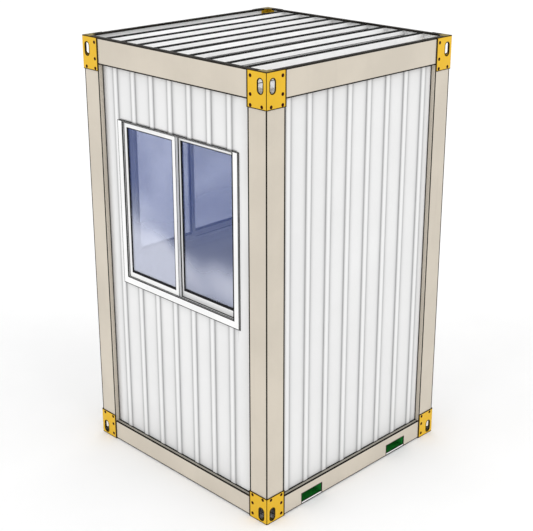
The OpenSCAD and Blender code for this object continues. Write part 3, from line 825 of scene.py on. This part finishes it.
for side in ("front", "left"):
    turn = TURNS[side]
    name = side + "_window"
    outer_y, back_y = -TRIM_FACE, -WALL_BACK + 10 * MM
    bm = bmesh.new()
    line, inner_line = (3.5 * MM, 0.3 * MM, 4 * MM), (12.5 * MM, 4.5 * MM, 7 * MM)
    loops = [(0, 0, 0, -WALL_FACE), (0, 0, 0, outer_y + R), (R, R, R, outer_y),
             (R + line[0], R + line[1], R + line[2], outer_y),
             (JAMB - inner_line[0], HEAD - inner_line[1], JAMB - inner_line[2], outer_y),
             (JAMB - R, HEAD - R, JAMB - R, outer_y),
             (JAMB, HEAD, JAMB, outer_y + R), (JAMB, HEAD, JAMB, -WALL_FACE),
             (JAMB - LIP, HEAD, JAMB - LIP, -WALL_FACE),
             (JAMB - LIP, HEAD, JAMB - LIP, -WALL_BACK), (JAMB, HEAD, JAMB, -WALL_BACK),
             (JAMB, HEAD, JAMB, back_y - R),
             (JAMB - R, HEAD - R, JAMB - R, back_y), (R, R, R, back_y), (0, 0, 0, back_y - R),
             (0, 0, 0, -WALL_BACK),
             (LAP, 1 * MM, LAP, -WALL_BACK), (LAP, 1 * MM, LAP, -WALL_FACE)]
    rings(bm, WINDOW_X, WINDOW_Z, loops, True, (1, 2, 4, 5))
    floor_z = WINDOW_Z[0] + JAMB - LIP
    for y in (-WALL_FACE + SASH_T / 2, -WALL_FACE + SASH_T / 2 + 30 * MM):
        slab(bm, (WINDOW_X[0] + JAMB - LIP, y - 1.5 * MM, floor_z - MM),
             (WINDOW_X[1] - JAMB + LIP, y + 1.5 * MM, floor_z + 7 * MM))
    piece(name + "_surround", bm, [trim_paint, trim_edge], turn, (name + "_frame",), smooth=False)

    bm = bmesh.new()
    wide, high = 1.5 * MM, 6 * MM
    rings(bm, WINDOW_X, WINDOW_Z, [(-wide, -wide, -wide, -WALL_FACE + MM),
                                   (-wide, -wide, -wide, -WALL_FACE - high + 2 * MM),
                                   (-wide + MM, -wide + MM, -wide + MM, -WALL_FACE - high),
                                   (0.2 * MM, 0.2 * MM, 0.2 * MM, -WALL_FACE - high),
                                   (0.2 * MM, 0.2 * MM, 0.2 * MM, -WALL_FACE + MM)])
    lip = JAMB - 2.5 * MM
    rings(bm, WINDOW_X, WINDOW_Z, [(lip, HEAD - 1 * MM, lip, -WALL_FACE - 5 * MM),
                                   (lip + 4.5 * MM, HEAD + 2 * MM, lip + 5 * MM, -WALL_FACE - 4 * MM),
                                   (lip + 4.5 * MM, HEAD + 2 * MM, lip + 5 * MM, -WALL_FACE - 1 * MM),
                                   (lip, HEAD - 1 * MM, lip, -WALL_FACE)])
    for y in (-WALL_FACE + 1.5 * MM, -WALL_FACE + SASH_T + 1 * MM, -WALL_FACE + SASH_T + 6 * MM):
        slab(bm, (WINDOW_X[0] + JAMB - LIP, y, floor_z),
             (WINDOW_X[1] - JAMB + LIP, y + 3.5 * MM, floor_z + 3 * MM))
    piece(name + "_seals", bm, [sealant], turn, smooth=False)

    for which in ("outer", "inner"):
        low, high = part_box(f"front_window_{which}_sash")
        x, z, y0, y1 = (low.x, high.x), (low.z, high.z), low.y, high.y
        glass_y = (y0 + y1) / 2 - 3 * MM
        bm = bmesh.new()
        loops = [(0, 0, 0, y0 + R), (R, R, R, y0), (STILE - 4 * MM, SASH_HEAD - 4 * MM, SASH_FOOT - 4 * MM, y0),
                 (STILE - 1 * MM, SASH_HEAD - 1 * MM, SASH_FOOT - 1 * MM, y0 + 1.6 * MM),
                 (STILE, SASH_HEAD, SASH_FOOT, y0 + 3.5 * MM),
                 (STILE, SASH_HEAD, SASH_FOOT, y1 - 3.5 * MM),
                 (STILE - MM, SASH_HEAD - MM, SASH_FOOT - MM, y1 - 1.6 * MM),
                 (STILE - 4 * MM, SASH_HEAD - 4 * MM, SASH_FOOT - 4 * MM, y1), (R, R, R, y1), (0, 0, 0, y1 - R)]
        rings(bm, x, z, loops, True, (0,))
        node = f"{side}_window_{which}_sash"
        piece(node + "_profile", bm, [trim_paint, trim_edge], turn, (node,), smooth=False)

        bm = bmesh.new()
        for near, far, sign in ((y0 + 2.5 * MM, glass_y, 1), (y1 - 2.5 * MM, glass_y + 6 * MM, -1)):
            loops = []
            for share, deep in ((-0.06, 0.0), (0.25, 0.12), (0.38, 0.5), (0.5, 0.55), (0.62, 0.3),
                                (0.85, 0.45), (1.0, 1.0)):
                y = near + (far - near) * deep
                loops.append((STILE + share * 9 * MM, SASH_HEAD + share * 7 * MM, SASH_FOOT + share * 15 * MM,
                              y))
            loops.append((STILE - 0.4 * MM, SASH_HEAD - 0.4 * MM, SASH_FOOT - 0.4 * MM, far))
            rings(bm, x, z, loops)
        piece(node + "_gasket", bm, [gasket], turn, smooth=False)

    low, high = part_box("front_window_outer_sash")
    inner_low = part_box("front_window_inner_sash")[0]
    bm = bmesh.new()
    slab(bm, (high.x - 7 * MM, high.y - MM, low.z + 4 * MM),
         (high.x - 2 * MM, inner_low.y + MM, high.z - 4 * MM))
    slab(bm, (inner_low.x + 3 * MM, high.y - MM, low.z + 4 * MM),
         (inner_low.x + 8 * MM, inner_low.y + MM, high.z - 4 * MM))
    piece(name + "_meeting_brushes", bm, [sealant], turn, smooth=False, bevel=0.8 * MM)

# ---------------------------------------------------------------- roof

purlin_low, purlin_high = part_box("roof_purlins")
COUNT, PURLIN_PITCH, PURLIN_W, LIP_H, PURLIN_T = 9, 156 * MM, 20 * MM, 29 * MM, 3 * MM
bm = bmesh.new()
# Black tape on the purlins, where the photo has its outlines
tape = bmesh.new()
for i in range(COUNT):
    face = purlin_high.x - (COUNT - 1 - i) * PURLIN_PITCH
    web, mouth = (face - PURLIN_W, face) if i % 2 else (face, face - PURLIN_W)
    side = 1 if i % 2 else -1
    low_z, high_z = purlin_low.z, purlin_high.z
    path = [(mouth, high_z - LIP_H), (mouth, high_z), (web, high_z), (web, low_z), (mouth, low_z),
            (mouth, low_z + LIP_H)]
    extrude(bm, fold(path, PURLIN_T, 4.5 * MM, side), [purlin_low.y, purlin_high.y], lambda u, v, s: (u, s, v))
    if i % 2:
        slab(tape, (face - PURLIN_T - 0.4 * MM, purlin_low.y, high_z - LIP_H - 1.2 * MM),
             (face + 0.6 * MM, purlin_high.y, high_z - LIP_H + 1.8 * MM))
    slab(tape, (face - PURLIN_W + 0.5 * MM, purlin_low.y + 33 * MM, high_z - 0.3 * MM),
         (face - 0.5 * MM, purlin_high.y - 33 * MM, high_z + 4 * MM))
purlin_edge = worn_edge("purlin_edge", (0.12, 0.12, 0.12), (0.02, 0.02, 0.02), 0.9)
piece("roof_purlins_channels", bm, [purlin_paint, purlin_edge], 0, ("roof_purlins",))
piece("roof_purlins_tape", tape, [sealant], 0, (), False, 0.8 * MM)

# ---------------------------------------------------------------- rear door

door_z = (door_low.z, door_high.z)
door_x = (-door_high.x, door_high.x)
DOOR_FACE, THRESHOLD, STOP = 50 * MM, 20 * MM, 12 * MM
leaf_low, leaf_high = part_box("door_leaf")
leaf_front, leaf_back = -leaf_high.y, -leaf_low.y
bm = bmesh.new()
front_y, rear_y = -TRIM_FACE, -WALL_BACK + 10 * MM
loops = [(0, 0, 0, -WALL_FACE), (0, 0, 0, front_y + R), (R, R, R, front_y),
         (DOOR_FACE - R, DOOR_FACE - R, THRESHOLD - R, front_y),
         (DOOR_FACE, DOOR_FACE, THRESHOLD, front_y + R), (DOOR_FACE, DOOR_FACE, THRESHOLD, leaf_back + 2 * MM),
         (DOOR_FACE + STOP, DOOR_FACE + STOP, THRESHOLD, leaf_back + 2 * MM),
         (DOOR_FACE + STOP, DOOR_FACE + STOP, THRESHOLD, -WALL_BACK),
         (DOOR_FACE, DOOR_FACE, THRESHOLD, -WALL_BACK), (DOOR_FACE, DOOR_FACE, THRESHOLD, rear_y - R),
         (DOOR_FACE - R, DOOR_FACE - R, THRESHOLD - R, rear_y), (R, R, R, rear_y), (0, 0, 0, rear_y - R),
         (0, 0, 0, -WALL_BACK),
         (LAP, LAP, 0, -WALL_BACK), (LAP, LAP, 0, -WALL_FACE)]
rings(bm, door_x, door_z, loops, True, (1, 3))
piece("door_frame_surround", bm, [trim_paint, trim_edge], 180, ("door_frame",), smooth=False)

bm = bmesh.new()
leaf_x = (-leaf_high.x, -leaf_low.x)
leaf_z = (leaf_low.z, leaf_high.z)
E = 1.4 * MM
loops = [(0, 0, 0, leaf_front + E), (E, E, E, leaf_front), (14 * MM, 14 * MM, 14 * MM, leaf_front),
         (15.5 * MM, 15.5 * MM, 15.5 * MM, leaf_front + 1.2 * MM),
         (17 * MM, 17 * MM, 17 * MM, leaf_front)]
rings(bm, leaf_x, leaf_z, loops, False)
rings(bm, leaf_x, leaf_z, [(E, E, E, leaf_back), (0, 0, 0, leaf_back - E), (0, 0, 0, leaf_front + E)], False)
for inset, y in ((17 * MM, leaf_front), (E, leaf_back)):
    x0, x1, z0, z1 = leaf_x[0] + inset, leaf_x[1] - inset, leaf_z[0] + inset, leaf_z[1] - inset
    bm.faces.new([bm.verts.new(p) for p in ((x0, y, z0), (x1, y, z0), (x1, y, z1), (x0, y, z1))])
piece("door_leaf_skin", bm, [door_paint], 180, ("door_leaf",), smooth=False)

bm = bmesh.new()
gap = DOOR_FACE + 0.4 * MM
rings(bm, door_x, door_z, [(gap, gap, THRESHOLD + 0.4 * MM, leaf_front + 9 * MM),
                           (gap + 3.4 * MM, gap + 3.4 * MM, THRESHOLD + 3.4 * MM, leaf_front + 9 * MM),
                           (gap + 3.4 * MM, gap + 3.4 * MM, THRESHOLD + 3.4 * MM, leaf_back),
                           (gap, gap, THRESHOLD + 0.4 * MM, leaf_back)])
wide, high = 5 * MM, 8.5 * MM
rings(bm, door_x, door_z, [(-wide, -wide, 0, -WALL_FACE + MM), (-wide, -wide, 0, -WALL_FACE - high + 2 * MM),
                           (-wide + 2 * MM, -wide + 2 * MM, 0, -WALL_FACE - high),
                           (0.2 * MM, 0.2 * MM, 0, -WALL_FACE - high),
                           (0.2 * MM, 0.2 * MM, 0, -WALL_FACE + MM)])
piece("door_seals", bm, [sealant], 180, smooth=False)

HINGE_H, HINGE_R, LEAF_T = 90 * MM, 8 * MM, 3 * MM
bm = bmesh.new()
clear = door_high.x - DOOR_FACE
for share in (0.12, 0.5, 0.88):
    z = door_z[0] + share * (door_z[1] - door_z[0])
    for k in range(5):
        a, b = z + HINGE_H * k / 5 + 0.4 * MM, z + HINGE_H * (k + 1) / 5 - 0.4 * MM
        turned(bm, (-clear, front_y, 0), (0, 0, 1), (1, 0, 0),
               [(a, HINGE_R - MM), (a + MM, HINGE_R), (b - MM, HINGE_R), (b, HINGE_R - MM)])
    turned(bm, (-clear, front_y, 0), (0, 0, 1), (1, 0, 0), [(z, 4 * MM), (z + HINGE_H, 4 * MM)])
    slab(bm, (-clear - 28 * MM, front_y - LEAF_T, z), (-clear, front_y, z + HINGE_H))
    slab(bm, (-clear + 4 * MM, leaf_front - LEAF_T, z), (-clear + 32 * MM, leaf_front, z + HINGE_H))
    for k in range(3):
        zs = z + HINGE_H * (k + 0.5) / 3
        for x, y in ((-clear - 17 * MM, front_y - LEAF_T), (-clear + 21 * MM, leaf_front - LEAF_T)):
            turned(bm, (x, y, zs), (0, -1, 0), (1, 0, 0),
                   [(-0.5 * MM, 4 * MM), (0.3 * MM, 4 * MM), (0.9 * MM, 2.6 * MM)], 16)
piece("door_hinges_knuckles", bm, [hardware_steel], 180, ("door_hinges",), False, 0.6 * MM)

bm = bmesh.new()
LEVER_Z, LEVER_R, LEVER_L, REACH = 1050 * MM, 8 * MM, 120 * MM, 20 * MM
lever_x = clear - 4 * MM - 55 * MM
for face, out in ((leaf_front, -1), (leaf_back, 1)):
    plate = flat_plate([rounded(lever_x - 20 * MM, lever_x + 20 * MM, LEVER_Z - 100 * MM, LEVER_Z + 100 * MM,
                                8 * MM),
                        circle(lever_x, LEVER_Z - 62 * MM, 5.5 * MM),
                        circle(lever_x, LEVER_Z + 86 * MM, 2.6 * MM),
                        circle(lever_x, LEVER_Z - 88 * MM, 2.6 * MM)],
                       4 * MM, 0.8 * MM)
    for v in plate.verts:
        u, w, t = v.co
        v.co = (u, face + out * (2 * MM + t), w)
    add_mesh(bm, plate)
    for dz, r in ((-62 * MM, 4.6 * MM), (86 * MM, 2.2 * MM), (-88 * MM, 2.2 * MM)):
        turned(bm, (lever_x, face, LEVER_Z + dz), (0, out, 0), (1, 0, 0),
               [(0, r), (3.0 * MM, r), (3.4 * MM, r * 0.8)], 18)
    turned(bm, (lever_x, face, LEVER_Z), (0, out, 0), (1, 0, 0),
           [(3 * MM, 12 * MM), (5.5 * MM, 12 * MM), (6.5 * MM, 10.5 * MM), (7 * MM, LEVER_R),
            (REACH - LEVER_R, LEVER_R), (REACH - 2 * MM, LEVER_R * 0.9), (REACH + 5 * MM, LEVER_R * 0.3)])
    y = face + out * REACH
    turned(bm, (lever_x, y, LEVER_Z), (-1, 0, 0), (0, 0, 1),
           [(-LEVER_R, LEVER_R * 0.4), (-LEVER_R * 0.8, LEVER_R * 0.75), (-LEVER_R * 0.3, LEVER_R),
            (LEVER_L * 0.5, LEVER_R * 0.92),
            (LEVER_L - 11 * MM, LEVER_R * 0.98), (LEVER_L - 9.2 * MM, LEVER_R * 0.8),
            (LEVER_L - 8 * MM, LEVER_R * 0.4)])
piece("door_handle_lever", bm, [hardware_steel, hardware_steel], 180, ("door_handle",), False)

# ---------------------------------------------------------------- carried-over nodes

CARRIED = {"front_fork_pocket": pocket_paint, "back_fork_pocket": pocket_paint, "floor_joists": joist_steel,
           "floor_panel": board,
           "ceiling_panel": inside_paint, "front_window_glass": window_glass, "left_window_glass": window_glass}
for node, material in CARRIED.items():
    for material_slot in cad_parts[node].material_slots:
        material_slot.link = "OBJECT"
        material_slot.material = material

# ---------------------------------------------------------------- floor, light and camera

FLOOR_REACH, FLOOR_T, FLOOR_DROP = 60, 0.06, 0.0005
SUN_SPREAD, SUN_STRENGTH, SUN_AWAY = 50, 0.55, 12
LENS_MM, SENSOR_MM = 77.11, 36.0
SHIFT_X, SHIFT_Y = -0.0215, -0.0758

floor_graph = Graph("studio_floor")
speckle = floor_graph.scale(floor_graph.noise(0.8, 3.0), 0.3, 0.7)
floor_tone = floor_graph.mix(speckle, (0.93, 0.93, 0.93), (0.95, 0.95, 0.95))
floor_mat = floor_graph.done(floor_graph.shader(Base_Color=floor_tone, Roughness=0.9))
bm = bmesh.new()
slab(bm, (-FLOOR_REACH, -FLOOR_REACH, -FLOOR_T), (FLOOR_REACH, FLOOR_REACH, -FLOOR_DROP))
floor_mesh = bpy.data.meshes.new("studio_floor")
bm.to_mesh(floor_mesh)
bm.free()
floor_mesh.materials.append(floor_mat)
floor_object = bpy.data.objects.new("studio_floor", floor_mesh)
bpy.context.scene.collection.objects.link(floor_object)
floor_object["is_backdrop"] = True

scene = bpy.context.scene
world = bpy.data.worlds.new("studio")
world.use_nodes = True
sky = world.node_tree.nodes["Background"]
sky.inputs["Color"].default_value = (1.0, 1.0, 1.0, 1.0)
sky.inputs["Strength"].default_value = 1.0
scene.world = world
for name, azimuth, elevation in (("left_key", -12, 24), ("right_key", 102, 24)):
    light = bpy.data.lights.new(name, "SUN")
    light.energy = SUN_STRENGTH
    light.angle = math.radians(SUN_SPREAD)
    holder = bpy.data.objects.new(name, light)
    a, e = math.radians(azimuth), math.radians(elevation)
    back = Vector((math.sin(a) * math.cos(e), -math.cos(a) * math.cos(e), math.sin(e)))
    holder.rotation_euler = (-back).to_track_quat("-Z", "Y").to_euler()
    holder.location = back * SUN_AWAY
    scene.collection.objects.link(holder)
scene.view_settings.view_transform = "Standard"

CAMERA_PLACE = Vector((1.8091, -1.7948, 1.4412)) * TOP
AZIMUTH, ELEVATION, ROLL = (math.radians(v) for v in (44.664, 19.290, 0.140))
data = bpy.data.cameras.new("camera")
data.lens = LENS_MM
data.sensor_width = SENSOR_MM
data.shift_x = SHIFT_X
data.shift_y = SHIFT_Y
data.clip_end = 200.0
camera = bpy.data.objects.new("camera", data)
back = Vector((math.sin(AZIMUTH) * math.cos(ELEVATION), -math.cos(AZIMUTH) * math.cos(ELEVATION),
               math.sin(ELEVATION)))
level = Vector((math.cos(AZIMUTH), math.sin(AZIMUTH), 0.0))
upright = back.cross(level)
right = level * math.cos(ROLL) + upright * math.sin(ROLL)
up = upright * math.cos(ROLL) - level * math.sin(ROLL)
camera.matrix_world = Matrix.Translation(CAMERA_PLACE) @ Matrix((right, up, back)).transposed().to_4x4()
scene.collection.objects.link(camera)
scene.camera = camera

low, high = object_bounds()
